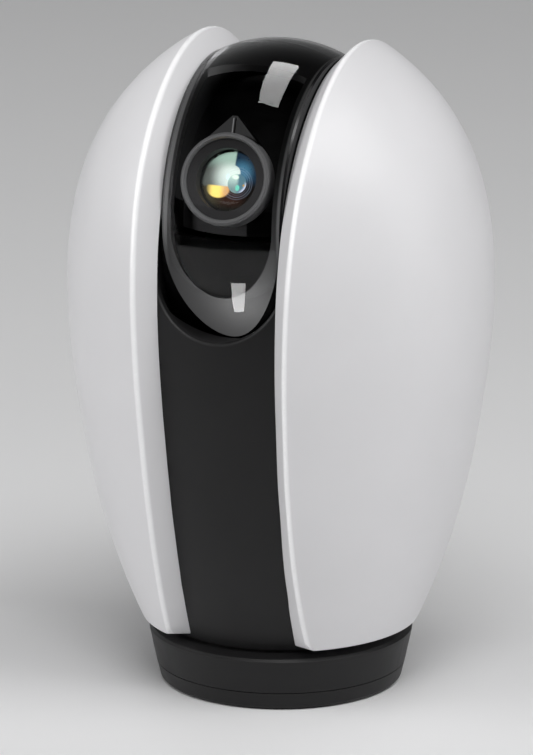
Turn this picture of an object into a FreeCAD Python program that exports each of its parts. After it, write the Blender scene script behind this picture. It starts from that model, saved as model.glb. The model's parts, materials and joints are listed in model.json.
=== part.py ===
import FreeCAD, Part
import math
import os

V = FreeCAD.Vector
os.makedirs("parts", exist_ok=True)

# Pan and tilt indoor camera.  Millimetres, Z up, front towards -Y, pan axis on Z.

# ---------------------------------------------------------------- driving sizes
BASE_BOTTOM_R = 24.2        # radius of the base just above the table
BASE_SEAM_R = 25.1          # radius at the seam of bottom cover and housing
BASE_SEAM_Z = 3.8
BASE_FLOOR_Z = 0.2          # underside of the base; the rubber foot stands below it
BASE_RIM_R = 26.5           # widest radius of the base, at its top rim
BASE_RIM_Z = 10.6
BASE_TOP_Z = 11.6           # flat top inside the sloping shoulder
BASE_WALL = 2.2

POST_R = 6.0                # fixed pan post
RUN_GAP = 0.05              # radial running clearance of post and journals
SHELL_Z = 13.1              # lower edge of the white shells
SHELL_WALL = 2.2
SLOT_DEPTH = 5.2            # how far the dark strip sits below the shells
COVER_T = 1.8
LIP_X = 17.3                # the shells are solid lips nearer the slot than this
PIVOT_Z = 88.0              # height where the slot starts to turn over the top
RIDGE_ROUND = 1.2           # soft edge where the shells turn into the slot
FOOT_ROUND = 0.9            # soft lower edge of the shells
CORNER = 2.6                # the ridge swings out over this height at its foot

TILT_Y = -3.3               # tilt axis, parallel to X
TILT_Z = 99.2
HEAD_R = 32.2               # head radius on the centre line
HEAD_CROWN = 28.0           # crown radius across the head
HEAD_HALF = 12.6            # half width of the head
HEAD_WALL = 2.6
WINDOW_AXIS = 27.5          # elevation of the middle of the window, degrees
WINDOW_HALF = 12.15         # half width of the window
WINDOW_T = 1.1
LENS_AXIS = 21.0            # elevation of the lens axis at rest, degrees

ARM_IN = 13.3               # inner face of the yoke arms
ARM_OUT = 15.3
MODULE = 0.5
GEAR_TEETH = 40
PINION_TEETH = 16
CENTRE_DIST = MODULE * (GEAR_TEETH + PINION_TEETH) / 2.0
MOTOR_R = 9.0

CENTRE = V(0, TILT_Y, TILT_Z)
X_AXIS = V(1, 0, 0)
Y_AXIS = V(0, 1, 0)
Z_AXIS = V(0, 0, 1)


# ---------------------------------------------------------------- plain helpers
def rad(a):
    return a * math.pi / 180.0


def box(x0, x1, y0, y1, z0, z1):
    return Part.makeBox(x1 - x0, y1 - y0, z1 - z0, V(x0, y0, z0))


def rod(r, length, base, axis=Z_AXIS):
    return Part.makeCylinder(r, length, base, axis)


def tube(r_out, r_in, length, base, axis=Z_AXIS):
    return rod(r_out, length, base, axis).cut(rod(r_in, length, base, axis))


def prism(points, vector):
    wire = Part.makePolygon(points + [points[0]])
    return Part.Face(wire).extrude(vector)


def turned(points, base=V(0, 0, 0), axis=Z_AXIS):
    """Solid turned from (radius, height) points about the Z axis."""
    corners = [V(r, 0, z) for r, z in points]
    wire = Part.makePolygon(corners + [corners[0]])
    return Part.Face(wire).revolve(base, axis, 360)


def gear(teeth, bore, length, phase):
    """Straight-flanked spur gear on the Z axis, first tooth at the phase angle."""
    pitch_r = MODULE * teeth / 2.0
    root_r = pitch_r - 1.25 * MODULE
    tip_r = pitch_r + 0.9 * MODULE
    step = 360.0 / teeth
    points = []
    for i in range(teeth):
        middle = phase + i * step
        for share, r in ((-0.31, root_r), (-0.11, tip_r), (0.11, tip_r), (0.31, root_r)):
            a = rad(middle + share * step)
            points.append(V(r * math.cos(a), r * math.sin(a), 0))
    blank = prism(points, V(0, 0, length))
    return blank.cut(rod(bore, length, V(0, 0, 0)))


def one(shape):
    """The single solid of a boolean result."""
    solids = shape.Solids
    solids.sort(key=lambda s: -s.Volume)
    return solids[0]


def save(name, shapes):
    if not isinstance(shapes, list):
        shapes = [shapes]
    solids = [s for shape in shapes for s in shape.Solids]
    result = solids[0] if len(solids) == 1 else Part.makeCompound(solids)
    result.exportStep("parts/" + name + ".step")


# ---------------------------------------------------------------- egg profile
# (height, radius) of the white body, a smooth egg standing on its small end
EGG = [(5, 23.6), (11.5, 27.0), (34, 35.4), (58, 40.4), (82, 42.5), (106, 38.9),
       (118, 32.6), (126, 25.2), (131.5, 17.4), (134.2, 11.0)]


def spline(stations):
    curve = Part.BSplineCurve()
    curve.interpolate([V(r, 0, z) for z, r in stations])
    return curve


def slot_depth(z):
    """The strip sits shallower near the foot of the body."""
    if z > 60:
        return SLOT_DEPTH
    return SLOT_DEPTH - 1.6 * ((60.0 - z) / 48.0) ** 2


def inset(curve, depth):
    """Stations moved inwards along the normal by a depth or a depth rule."""
    stations = []
    for z, r in EGG:
        u = curve.parameter(V(r, 0, z))
        t = curve.tangent(u)[0]
        d = depth(z) if callable(depth) else depth
        normal = V(t.z, 0, -t.x)
        if r - d * normal.x > 1.0:
            stations.append((z - d * normal.z, r - d * normal.x))
    return spline(stations)


def solid_of(curve):
    first = curve.value(curve.FirstParameter)
    last = curve.value(curve.LastParameter)
    wire = Part.Wire([
        curve.toShape(),
        Part.makeLine(last, V(0, 0, last.z)),
        Part.makeLine(V(0, 0, last.z), V(0, 0, first.z)),
        Part.makeLine(V(0, 0, first.z), first)])
    return Part.Face(wire).revolve(V(0, 0, 0), Z_AXIS, 360)


def radius_at(curve, z):
    low = curve.FirstParameter
    high = curve.LastParameter
    if z >= curve.value(high).z:
        return 0.0
    for _ in range(40):
        middle = (low + high) / 2.0
        if curve.value(middle).z < z:
            low = middle
        else:
            high = middle
    return curve.value(low).x


def reach(curve, x, angle, pivot_z):
    """Distance from the pivot line to the turned surface at offset x."""
    low, high = 0.0, 60.0
    for _ in range(40):
        d = (low + high) / 2.0
        out = math.hypot(x, d * math.cos(rad(angle)))
        if out < radius_at(curve, pivot_z + d * math.sin(rad(angle))):
            low = d
        else:
            high = d
    return low


outer_curve = spline(EGG)
core_curve = inset(outer_curve, slot_depth)
cover_curve = inset(outer_curve, lambda z: slot_depth(z) + 0.05)
cover_inner_curve = inset(outer_curve, lambda z: slot_depth(z) + 0.05 + COVER_T)
arm_curve = inset(outer_curve, lambda z: slot_depth(z) + 0.15 + COVER_T)
arm_top_curve = inset(outer_curve, lambda z: slot_depth(z) + 0.1)
wall_curve = inset(outer_curve, SHELL_WALL)


# ---------------------------------------------------------------- slot cutter
def edge_t(z):
    return (min(z, 118.0) - 70.0) / 60.0


def ridge_x(z):
    t = edge_t(z)
    x = 15.3 + 1.7 * t + 0.5 * t ** 2 - 0.7 * t ** 3
    rise = SHELL_Z + CORNER - z
    if rise > 0:
        x += rise ** 2 / (2.0 * CORNER)
    return x


def slot_x(z):
    t = edge_t(z)
    return 12.0 + 1.35 * t - 0.5 * t ** 3


def slot_section(z, angle):
    """Slot outline across the body at one station of its path."""
    u = V(0, -math.cos(rad(angle)), math.sin(rad(angle)))
    probe = z + 42.0 * math.sin(rad(angle))
    xi = slot_x(probe)
    xr = ridge_x(max(probe, SHELL_Z))
    di = reach(core_curve, xi, angle, z)
    dr = reach(outer_curve, xr, angle, z)
    xo = xr + (xr - xi) * 0.8
    do = dr + (dr - di) * 0.8
    side = [(xi, di - 1.5), (xi, di), (xo, do), (xo, 62.0)]
    loop = [(-x, d) for x, d in side] + [(x, d) for x, d in reversed(side)]
    points = [V(x, 0, z) + u * d for x, d in loop]
    return Part.makePolygon(points + [points[0]])


LOW_STATIONS = [SHELL_Z - 0.6, 13.5, 14.2, 15.2, 16.5, 18.5, 22, 28, 36, 46, 56, 66, 77]
sections = [slot_section(z, 0) for z in LOW_STATIONS]
sections += [slot_section(PIVOT_Z, 7.5 * i) for i in range(25)]
sections += [slot_section(z, 180) for z in reversed(LOW_STATIONS)]
slot_cutter = Part.makeLoft(sections, True, False)

# ---------------------------------------------------------------- white shells
egg = solid_of(outer_curve)
core = solid_of(core_curve)
raw = egg.cut(box(-60, 60, -60, 60, 0, SHELL_Z))
raw = raw.cut(slot_cutter).cut(core)


def is_ridge(edge):
    """Edges where the slot bevel breaks out through the egg surface."""
    if edge.Length < 60:
        return False
    for share in (0.2, 0.5, 0.8):
        u = edge.FirstParameter + share * (edge.LastParameter - edge.FirstParameter)
        p = edge.valueAt(u)
        r = math.hypot(p.x, p.y)
        if abs(r - radius_at(outer_curve, p.z)) > 0.05 or p.z < SHELL_Z + 0.05:
            return False
        if abs(p.x) > 22:
            return False
    return True


def is_foot(edge):
    """The long outer lower edge of a shell."""
    middle = edge.valueAt((edge.FirstParameter + edge.LastParameter) / 2.0)
    return edge.Length > 30 and edge.BoundBox.ZMax < SHELL_Z + 0.3 and abs(middle.x) > 26


hollow = solid_of(wall_curve).cut(box(-60, 60, -60, 60, 0, SHELL_Z + 2.0))
SHELL_SCREWS = [(-12.0, 26.0), (12.0, 26.0), (-24.0, 56.0), (24.0, 56.0)]
BOSS_R = 3.0
SCREW_R = 1.0


def shell(side):
    inner, outer = sorted((0, side * 60))
    half = one(raw.common(box(inner, outer, -60, 60, 0, 140)))
    ridge = [e for e in half.Edges if is_ridge(e)]
    half = half.makeFillet(RIDGE_ROUND, ridge)
    foot = [e for e in half.Edges if is_foot(e)]
    half = half.makeFillet(FOOT_ROUND, foot)
    inner, outer = sorted((side * LIP_X, side * 60))
    half = half.cut(hollow.common(box(inner, outer, -60, 60, 0, 140)))
    inner, outer = sorted((side * (ARM_OUT + 0.1), side * 60))
    flange = box(inner, outer, -60, 60, SHELL_Z, SHELL_Z + 2.0).common(core)
    half = half.fuse(flange.cut(rod(21.5, 20, V(0, 0, 5))))
    for y, z in SHELL_SCREWS:
        start = V(side * (ARM_OUT + 0.02), y, z)
        boss = rod(BOSS_R, 40, start, V(side, 0, 0)).common(solid_of(wall_curve))
        keep_out = rod(SCREW_R, 7.2, start, V(side, 0, 0))
        half = half.fuse(boss).cut(keep_out)
    return one(half)


left_shell = shell(-1)
save("left_shell", left_shell)
save("right_shell", left_shell.mirror(V(0, 0, 0), X_AXIS))

# ---------------------------------------------------------------- base, fixed
POST_TOP = 14.25
FOOT_OUT = 18.85
FOOT_IN = 17.1
base_cover = turned([(0, BASE_FLOOR_Z), (BASE_BOTTOM_R, BASE_FLOOR_Z),
                     (BASE_SEAM_R - 0.04, BASE_SEAM_Z - 0.15), (0, BASE_SEAM_Z - 0.15)])
foot_edge = [e for e in base_cover.Edges if e.BoundBox.ZMax < 0.3 and e.BoundBox.XMax > 20]
base_cover = base_cover.makeFillet(0.8, foot_edge)
base_cover = base_cover.fuse(rod(POST_R, POST_TOP - 1.0, V(0, 0, 1.0)))
base_cover = base_cover.cut(tube(FOOT_OUT, FOOT_IN, 1.4, V(0, 0, BASE_FLOOR_Z)))
INSERT_R = 4.8
INSERT_LEN = 6.8
base_cover = base_cover.cut(rod(INSERT_R, INSERT_LEN, V(0, 0, BASE_FLOOR_Z)))
base_cover = base_cover.cut(rod(1.5, POST_TOP - 8.3, V(0, 0, 8.3)))

housing = turned([(BASE_SEAM_R, BASE_SEAM_Z), (BASE_RIM_R - 0.08, BASE_RIM_Z - 0.6),
                  (BASE_RIM_R, BASE_RIM_Z), (BASE_RIM_R - 0.5, BASE_RIM_Z + 0.5),
                  (BASE_RIM_R - 2.7, BASE_TOP_Z), (17.3, BASE_TOP_Z),
                  (17.3, BASE_TOP_Z - 2.0), (BASE_RIM_R - BASE_WALL - 0.2, BASE_TOP_Z - 2.0),
                  (BASE_SEAM_R - BASE_WALL, BASE_SEAM_Z)])
lug = box(-1.5, 1.5, 15.7, 17.5, BASE_TOP_Z - 2.0, BASE_TOP_Z)
housing = housing.fuse(lug)
BASE_SCREW_AT = [(21.0 * math.cos(rad(a)), 21.0 * math.sin(rad(a))) for a in (30, 150, 270)]
base_screws = []
for x, y in BASE_SCREW_AT:
    boss = rod(2.2, BASE_TOP_Z - 1.0 - BASE_SEAM_Z, V(x, y, BASE_SEAM_Z))
    housing = housing.fuse(boss).cut(rod(SCREW_R, 6.0, V(x, y, BASE_SEAM_Z)))
    base_cover = base_cover.cut(rod(SCREW_R, 5, V(x, y, 0)))
    base_cover = base_cover.cut(rod(1.9, 2.0, V(x, y, 0)))
    head = rod(1.9, 1.0, V(x, y, 1.0))
    slot = box(x - 1.2, x + 1.2, y - 0.2, y + 0.2, 0.9, 1.4)
    base_screws.append(head.fuse(rod(SCREW_R, 7.4, V(x, y, 2.0))).cut(slot))
save("base_screws", base_screws)
save("base_bottom_cover", one(base_cover))
save("base_housing", one(housing))
foot = turned([(FOOT_IN, 0.2), (FOOT_IN + 0.2, 0.0), (FOOT_OUT - 0.2, 0.0), (FOOT_OUT, 0.2),
               (FOOT_OUT, 1.6), (FOOT_IN, 1.6)])
save("foot_ring", foot)

knurl = []
for i in range(24):
    a = rad(i * 15.0)
    knurl.append(rod(0.25, INSERT_LEN, V(INSERT_R * math.cos(a), INSERT_R * math.sin(a), BASE_FLOOR_Z)))
insert = rod(INSERT_R, INSERT_LEN, V(0, 0, BASE_FLOOR_Z))
TRIPOD_R = 2.6
insert = insert.cut(rod(TRIPOD_R, INSERT_LEN - 1.0, V(0, 0, BASE_FLOOR_Z)))
for groove_z in (2.6, 4.6):
    insert = insert.cut(tube(INSERT_R + 0.1, INSERT_R - 0.4, 0.5, V(0, 0, groove_z)))
save("tripod_insert", insert)

GEAR_Z = 4.0
GEAR_T = 4.0
pan_gear = gear(GEAR_TEETH, POST_R, GEAR_T, 0)
save("pan_ring_gear", pan_gear.translated(V(0, 0, GEAR_Z)))
save("pan_thrust_washer", tube(8.9, POST_R + 0.1, 0.6, V(0, 0, GEAR_Z + GEAR_T)))
save("pan_slide_ring", tube(20.5, 18.0, 0.6, V(0, 0, BASE_TOP_Z)))
save("pan_retainer", tube(8.0, 1.6, 0.8, V(0, 0, POST_TOP)))
pan_screw = rod(2.8, 1.9, V(0, 0, POST_TOP + 0.8))
pan_screw = pan_screw.fuse(rod(1.5, 6.5, V(0, 0, POST_TOP + 0.8 - 6.5)))
cross = box(-1.7, 1.7, -0.35, 0.35, POST_TOP + 1.7, POST_TOP + 3)
cross = cross.fuse(box(-0.35, 0.35, -1.7, 1.7, POST_TOP + 1.7, POST_TOP + 3))
save("pan_retainer_screw", pan_screw.cut(cross))

# ---------------------------------------------------------------- turntable
TABLE_Z = BASE_TOP_Z + 0.6
TABLE_T = 2.0
TABLE_R = 21.4
FLOOR_Z = TABLE_Z + TABLE_T
PINION_Y = -CENTRE_DIST
TABLE_SCREWS = [(14.5 * math.cos(rad(a)), 14.5 * math.sin(rad(a))) for a in (30, 150, 210, 330)]
hub_z = GEAR_Z + GEAR_T + 0.6
table = rod(TABLE_R, TABLE_T, V(0, 0, TABLE_Z)).fuse(rod(8.9, FLOOR_Z - hub_z, V(0, 0, hub_z)))
table = table.fuse(box(-1.5, 1.5, -17.1, -15.7, TABLE_Z - 1.8, TABLE_Z + 0.5))
table = table.cut(rod(POST_R + RUN_GAP, 20, V(0, 0, 5)))
table = table.cut(rod(1.4, 10, V(0, PINION_Y, 8)))
table_screws = []
for x, y in TABLE_SCREWS:
    table = table.cut(rod(1.8, 1.2, V(x, y, TABLE_Z))).cut(rod(SCREW_R, 4, V(x, y, TABLE_Z)))
    screw = rod(1.8, 1.1, V(x, y, TABLE_Z + 0.1)).fuse(rod(SCREW_R, 6, V(x, y, TABLE_Z + 1.2)))
    table_screws.append(screw.cut(box(x - 1.2, x + 1.2, y - 0.2, y + 0.2, TABLE_Z, TABLE_Z + 0.5)))
save("turntable", one(table))
save("turntable_screws", table_screws)

# ---------------------------------------------------------------- yoke
FRONT_END_Z = 91.5          # the front strip ends beside the head opening
BACK_END_Z = 113.0
arm_low = solid_of(arm_curve)
arm_top = solid_of(arm_top_curve)
outline = arm_low.fuse(arm_top.common(box(-60, 60, -60, 0, FRONT_END_Z + 0.2, 140)))
outline = outline.fuse(arm_top.common(box(-60, 60, 0, 60, BACK_END_Z + 0.2, 140)))
plates = box(-ARM_OUT, -ARM_IN, -60, 60, FLOOR_Z, 140)
plates = plates.fuse(box(ARM_IN, ARM_OUT, -60, 60, FLOOR_Z, 140))
plates = plates.common(outline)
for z, half_y, half_z in ((40.0, 17.0, 9.0), (67.0, 15.0, 6.0)):
    plates = plates.cut(box(-20, 20, -half_y, half_y, z - half_z, z + half_z))
floor = rod(21.3, 2.0, V(0, 0, FLOOR_Z)).cut(rod(9.5, 2.0, V(0, 0, FLOOR_Z)))
yoke = plates.fuse(floor)
for x, y in TABLE_SCREWS:
    yoke = yoke.fuse(rod(2.2, 4.0, V(x, y, FLOOR_Z + 2.0)))
    yoke = yoke.cut(rod(SCREW_R, 6.0, V(x, y, FLOOR_Z)))
yoke = yoke.cut(rod(3.0, 2.0, V(0, PINION_Y, FLOOR_Z)))

# pan motor stands on two pillars of the floor
PAN_MOTOR_Z = FLOOR_Z + 3.3
EAR_X = 10.6
for side in (-1, 1):
    pillar = rod(2.0, PAN_MOTOR_Z - FLOOR_Z - 2.0, V(side * EAR_X, PINION_Y, FLOOR_Z + 2.0))
    yoke = yoke.fuse(pillar).cut(rod(0.8, 3.1, V(side * EAR_X, PINION_Y, PAN_MOTOR_Z - 3.1)))
# main board stands on a ledge of the floor
BOARD_Y = 17.0
BOARD_Z0 = FLOOR_Z + 3.3
yoke = yoke.fuse(box(-11, 11, BOARD_Y - 1.2, BOARD_Y + 1.6, FLOOR_Z + 1.9, BOARD_Z0).common(
    rod(21.3, 30, V(0, 0, 0))))

# tilt bearings and tilt motor pillars
JOURNAL_R = 3.0
yoke = yoke.cut(rod(JOURNAL_R + RUN_GAP, 40, V(-20, TILT_Y, TILT_Z), X_AXIS))
TILT_MOTOR_Z = TILT_Z - CENTRE_DIST
TILT_MOTOR_X = 20.4
for side in (-1, 1):
    base = V(ARM_OUT - 0.5, TILT_Y + side * EAR_X, TILT_MOTOR_Z)
    yoke = yoke.fuse(rod(2.0, TILT_MOTOR_X - ARM_OUT + 0.5, base, X_AXIS))
    hole = V(TILT_MOTOR_X - 4.0, base.y, base.z)
    yoke = yoke.cut(rod(0.8, 4.0, hole, X_AXIS))

shell_screws = []
for y, z in SHELL_SCREWS:
    for side in (-1, 1):
        axis = V(side, 0, 0)
        yoke = yoke.cut(rod(SCREW_R + 0.15, 3.0, V(side * 13.0, y, z), axis))
        screw = rod(2.0, 1.4, V(side * (ARM_IN - 1.4), y, z), axis)
        screw = screw.fuse(rod(SCREW_R, 9.0, V(side * ARM_IN, y, z), axis))
        notch = box(-0.25, 0.25, y - 1.3, y + 1.3, z - 0.25, z + 0.25)
        shell_screws.append(screw.cut(notch.translated(V(side * (ARM_IN - 1.3), 0, 0))))
save("yoke", one(yoke))
save("shell_screws", shell_screws)


# ---------------------------------------------------------------- motors
def motor():
    """Geared stepper with its shaft along -Z, face at z = 0."""
    body = turned([(0, 0), (MOTOR_R, 0), (MOTOR_R, 11.2), (MOTOR_R - 0.8, 12), (0, 12)])
    body = body.fuse(rod(3.2, 1.0, V(0, 0, -1.0)))
    ears = box(-EAR_X, EAR_X, -2.2, 2.2, 0, 0.9)
    for side in (-1, 1):
        ears = ears.fuse(rod(2.2, 0.9, V(side * EAR_X, 0, 0)))
        ears = ears.cut(rod(0.9, 0.9, V(side * EAR_X, 0, 0)))
    plug = box(-3, 3, MOTOR_R - 1, MOTOR_R + 1.6, 4, 8)
    return body.fuse(ears).fuse(plug).cut(rod(1.05, 9.0, V(0, 0, -2.0)))


def motor_screw():
    return rod(1.4, 1.0, V(0, 0, 0.9)).fuse(rod(0.8, 3.9, V(0, 0, -3.0)))


SHAFT_R = 1.0


def pinion(length, shaft_length, phase):
    """Pinion at the foot of its shaft; shaft runs up into the motor."""
    teeth = gear(PINION_TEETH, SHAFT_R * 0.5, length, phase)
    return teeth.fuse(rod(SHAFT_R, shaft_length, V(0, 0, 0)))


save("pan_motor", motor().translated(V(0, PINION_Y, PAN_MOTOR_Z)))
pan_pinion_z = GEAR_Z + 0.3
half_tooth = 180.0 / PINION_TEETH
pan_pinion = pinion(3.4, PAN_MOTOR_Z + 6.0 - pan_pinion_z, 90.0 + half_tooth)
save("pan_pinion", pan_pinion.translated(V(0, PINION_Y, pan_pinion_z)))

# local -Z of the tilt motor becomes -X, local X becomes Y
turn = FreeCAD.Placement(V(0, 0, 0), FreeCAD.Rotation(Y_AXIS, Z_AXIS, X_AXIS, "ZXY"))


def onto_tilt(shape, x, y, z):
    placed = shape.copy()
    placed.Placement = FreeCAD.Placement(V(x, y, z), turn.Rotation)
    return placed


save("tilt_motor", onto_tilt(motor(), TILT_MOTOR_X, TILT_Y, TILT_MOTOR_Z))
TILT_GEAR_X = 16.0
TILT_GEAR_T = 3.0
tilt_pinion = pinion(TILT_GEAR_T, TILT_MOTOR_X + 6.0 - TILT_GEAR_X, 90.0 + half_tooth)
save("tilt_pinion", onto_tilt(tilt_pinion, TILT_GEAR_X, TILT_Y, TILT_MOTOR_Z))
tilt_gear = gear(GEAR_TEETH, JOURNAL_R, TILT_GEAR_T, -90.0)
save("tilt_gear", onto_tilt(tilt_gear, TILT_GEAR_X, TILT_Y, TILT_Z))
motor_screws = []
for side in (-1, 1):
    motor_screws.append(motor_screw().translated(V(side * EAR_X, PINION_Y, PAN_MOTOR_Z)))
    motor_screws.append(onto_tilt(motor_screw(), TILT_MOTOR_X, TILT_Y + side * EAR_X, TILT_MOTOR_Z))
save("motor_screws", motor_screws)

# ---------------------------------------------------------------- strip covers
strip = solid_of(cover_curve).cut(solid_of(cover_inner_curve))
COVER_HALF = 15.2
OPENING_R = 13.2
front = strip.common(box(-COVER_HALF, COVER_HALF, -60, 0, TABLE_Z, FRONT_END_Z))
front = front.cut(rod(OPENING_R, 60, V(0, -60, FRONT_END_Z), Y_AXIS))
front = front.cut(box(-COVER_HALF, COVER_HALF, -60, 0, 5, FLOOR_Z + 2.0).common(rod(21.45, 30, V(0, 0, 0))))
front = one(front)
LIP_ROUND = 0.7             # soft outer edge of the opening below the head


def is_opening_lip(edge):
    """The outer edge of the round opening, which ends at the cover's top."""
    ends = [edge.valueAt(u).z for u in (edge.FirstParameter, edge.LastParameter)]
    if max(abs(z - FRONT_END_Z) for z in ends) > 0.1 or edge.Length < 25:
        return False
    middle = edge.CenterOfMass
    return middle.z < 86 and math.hypot(middle.x, middle.y) > radius_at(cover_inner_curve, 80) + 0.4


save("front_cover", front.makeFillet(LIP_ROUND, [e for e in front.Edges if is_opening_lip(e)]))

CRADLE_R = 14.4
HEAD_GAP = 0.8
cradle = tube(CRADLE_R + 1.4, CRADLE_R, 60, V(0, -60, FRONT_END_Z), Y_AXIS)
cradle = cradle.common(box(-ARM_IN + 0.05, ARM_IN - 0.05, -60, -20, 60, 86))
cradle = cradle.cut(rod(HEAD_R + HEAD_GAP, 60, V(-30, TILT_Y, TILT_Z), X_AXIS))
cradle = one(cradle.common(solid_of(cover_inner_curve)))
save("head_cradle", cradle)

back = strip.common(box(-COVER_HALF, COVER_HALF, 0, 60, TABLE_Z, BACK_END_Z))
USB_Z = 24.0
RESET_Z = 34.0
CARD_Z = 44.0
SPEAKER_Z = 63.0
MIC_Z = 79.0


def slot_hole(half_x, half_z, z):
    """Round-ended opening through the back cover."""
    cut = box(-half_x + half_z, half_x - half_z, 10, 60, z - half_z, z + half_z)
    for side in (-1, 1):
        cut = cut.fuse(rod(half_z, 50, V(side * (half_x - half_z), 10, z), Y_AXIS))
    return cut


back = back.cut(slot_hole(4.6, 1.9, USB_Z)).cut(slot_hole(6.2, 0.9, CARD_Z))
inside_cover = solid_of(cover_inner_curve)
ring_wall = tube(11.4, 10.2, 30, V(0, 28.0, SPEAKER_Z), Y_AXIS)
guide = tube(3.2, 1.7, 30, V(0, 28.2, RESET_Z), Y_AXIS)
mic_ring = tube(4.2, 3.05, 30, V(0, 31.0, MIC_Z), Y_AXIS)
bosses = ring_wall.fuse(guide).fuse(mic_ring).common(inside_cover)
back = back.fuse(bosses)
back = back.cut(rod(1.6 + RUN_GAP, 50, V(0, 10, RESET_Z), Y_AXIS))
back = back.cut(rod(0.5, 50, V(0, 20, MIC_Z), Y_AXIS))
back = back.cut(rod(10.2, 4.4, V(0, 28.0, SPEAKER_Z), Y_AXIS))
for ring, count in ((0, 1), (2.2, 6), (4.4, 12), (6.6, 18)):
    for i in range(count):
        a = rad(360.0 * i / count)
        back = back.cut(rod(0.6, 30, V(ring * math.cos(a), 20, SPEAKER_Z + ring * math.sin(a)), Y_AXIS))
save("back_cover", one(back))

# ---------------------------------------------------------------- electronics
board = box(-12.4, 12.4, BOARD_Y, BOARD_Y + 1.4, BOARD_Z0, 64.0)
save("main_board", board)
cans = []
for z0, z1, half_x in ((34.0, 50.0, 8.0), (52.0, 61.0, 9.5)):
    can = box(-half_x, half_x, BOARD_Y - 2.2, BOARD_Y, z0, z1)
    can = can.makeFillet(0.5, [e for e in can.Edges if abs(e.CenterOfMass.y - BOARD_Y) > 2.1])
    cans.append(can)
save("shield_cans", cans)
BOARD_BACK = BOARD_Y + 1.4
usb_end = radius_at(cover_inner_curve, USB_Z) - 0.6
usb = box(-3.8, 3.8, BOARD_BACK, usb_end, USB_Z - 1.4, USB_Z + 1.4)
usb = usb.cut(box(-3.4, 3.4, BOARD_BACK + 1.2, usb_end, USB_Z - 1.05, USB_Z + 1.05))
usb = usb.fuse(box(-2.6, 2.6, BOARD_BACK + 0.6, usb_end - 0.6, USB_Z + 0.1, USB_Z + 0.6))
save("usb_socket", usb)
switch = box(-3, 3, BOARD_BACK, BOARD_BACK + 3.4, RESET_Z - 3, RESET_Z + 3)
save("reset_switch", switch.fuse(rod(1.4, 0.8, V(0, BOARD_BACK + 3.4, RESET_Z), Y_AXIS)))
button_front = radius_at(cover_curve, RESET_Z) + 0.5
button_back = BOARD_BACK + 4.8
button = rod(1.6, button_front - button_back, V(0, button_back, RESET_Z), Y_AXIS)
button = button.makeFillet(0.3, [e for e in button.Edges if e.CenterOfMass.y > button_front - 0.1])
save("reset_button", button.fuse(rod(2.4, 1.2, V(0, button_back, RESET_Z), Y_AXIS)))

card_out = radius_at(cover_curve, CARD_Z) + 0.9
card = box(-5.5, 5.5, card_out - 15.0, card_out, CARD_Z - 0.4, CARD_Z + 0.3)
card = card.makeFillet(0.8, [e for e in card.Edges if abs(e.tangentAt(e.FirstParameter).z) > 0.9])
save("microsd_card", card.fuse(box(-4.5, 4.5, card_out - 0.7, card_out, CARD_Z + 0.2, CARD_Z + 0.6)))
socket_end = radius_at(cover_inner_curve, CARD_Z) - 1.2
socket = box(-7, 7, BOARD_BACK, socket_end, CARD_Z - 1.2, CARD_Z + 1.1)
save("microsd_socket", socket.cut(box(-5.56, 5.56, card_out - 15.1, 60, CARD_Z - 0.46, CARD_Z + 0.36)))

cone = turned([(0, 0), (10.15, 0), (10.15, 1.2), (8.8, 1.2), (4.0, 0.5), (3.2, 0.9), (0, 1.5)])
magnet = turned([(0, -3.2), (6.0, -3.2), (6.0, -1.0), (9.0, 0), (0, 0)])
speaker = cone.fuse(magnet)
speaker.rotate(V(0, 0, 0), X_AXIS, -90)
save("speaker", speaker.translated(V(0, 30.9, SPEAKER_Z)))
mic = rod(3.0, 2.0, V(0, 31.4, MIC_Z), Y_AXIS).cut(rod(0.5, 0.6, V(0, 32.8, MIC_Z), Y_AXIS))
save("microphone", mic)
antenna = box(-15.72, -15.32, -14, 14, 74.5, 80.5).cut(box(-16, -15, -11, 8, 76, 78))
save("wifi_antenna", antenna)


# ---------------------------------------------------------------- tilting head
def ball(r, half):
    """Crowned drum about the tilt axis."""
    crown = HEAD_CROWN - (HEAD_R - r)
    drop = crown - math.sqrt(crown ** 2 - half ** 2)
    top = V(0, TILT_Y, TILT_Z + r)
    left = V(-half, TILT_Y, TILT_Z + r - drop)
    right = V(half, TILT_Y, TILT_Z + r - drop)
    foot_l = V(-half, TILT_Y, TILT_Z)
    foot_r = V(half, TILT_Y, TILT_Z)
    wire = Part.Wire([Part.Arc(left, top, right).toShape(), Part.makeLine(right, foot_r),
                      Part.makeLine(foot_r, foot_l), Part.makeLine(foot_l, left)])
    return Part.Face(wire).revolve(CENTRE, X_AXIS, 360)


def aim(elevation):
    return V(0, -math.cos(rad(elevation)), math.sin(rad(elevation)))


def tangent(elevation):
    return V(0, math.sin(rad(elevation)), math.cos(rad(elevation)))


def wedge(low, high, x0, x1):
    """Angular slice about the tilt axis between two elevations."""
    points = [CENTRE + X_AXIS * x0]
    steps = 6
    for i in range(steps + 1):
        points.append(points[0] + aim(low + (high - low) * i / steps) * 60)
    return prism(points, X_AXIS * (x1 - x0))


def oval(half, straight, tip, end):
    """Window outline: half width, straight run, half-ellipse tip below, top end elevation."""
    up = tangent(WINDOW_AXIS)
    out = aim(WINDOW_AXIS)

    def at(x, v):
        return CENTRE + X_AXIS * x + up * v + out * 3.0

    low_tip = Part.Ellipse(at(0, -tip), at(half, -straight), at(0, -straight)).toShape()
    low_tip = low_tip.common(lower_block(at(0, -straight - 50)))
    sides = [Part.makeLine(at(x, -straight), at(x, 0)) for x in (-half, half)]
    edges = low_tip.Edges + sides + [Part.makeLine(at(-half, 0), at(half, 0))]
    lower = Part.Face(Part.Wire(Part.__sortEdges__(edges))).extrude(out * 40.0)
    return lower.fuse(wedge(WINDOW_AXIS - 0.01, end, -half, half))


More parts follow.
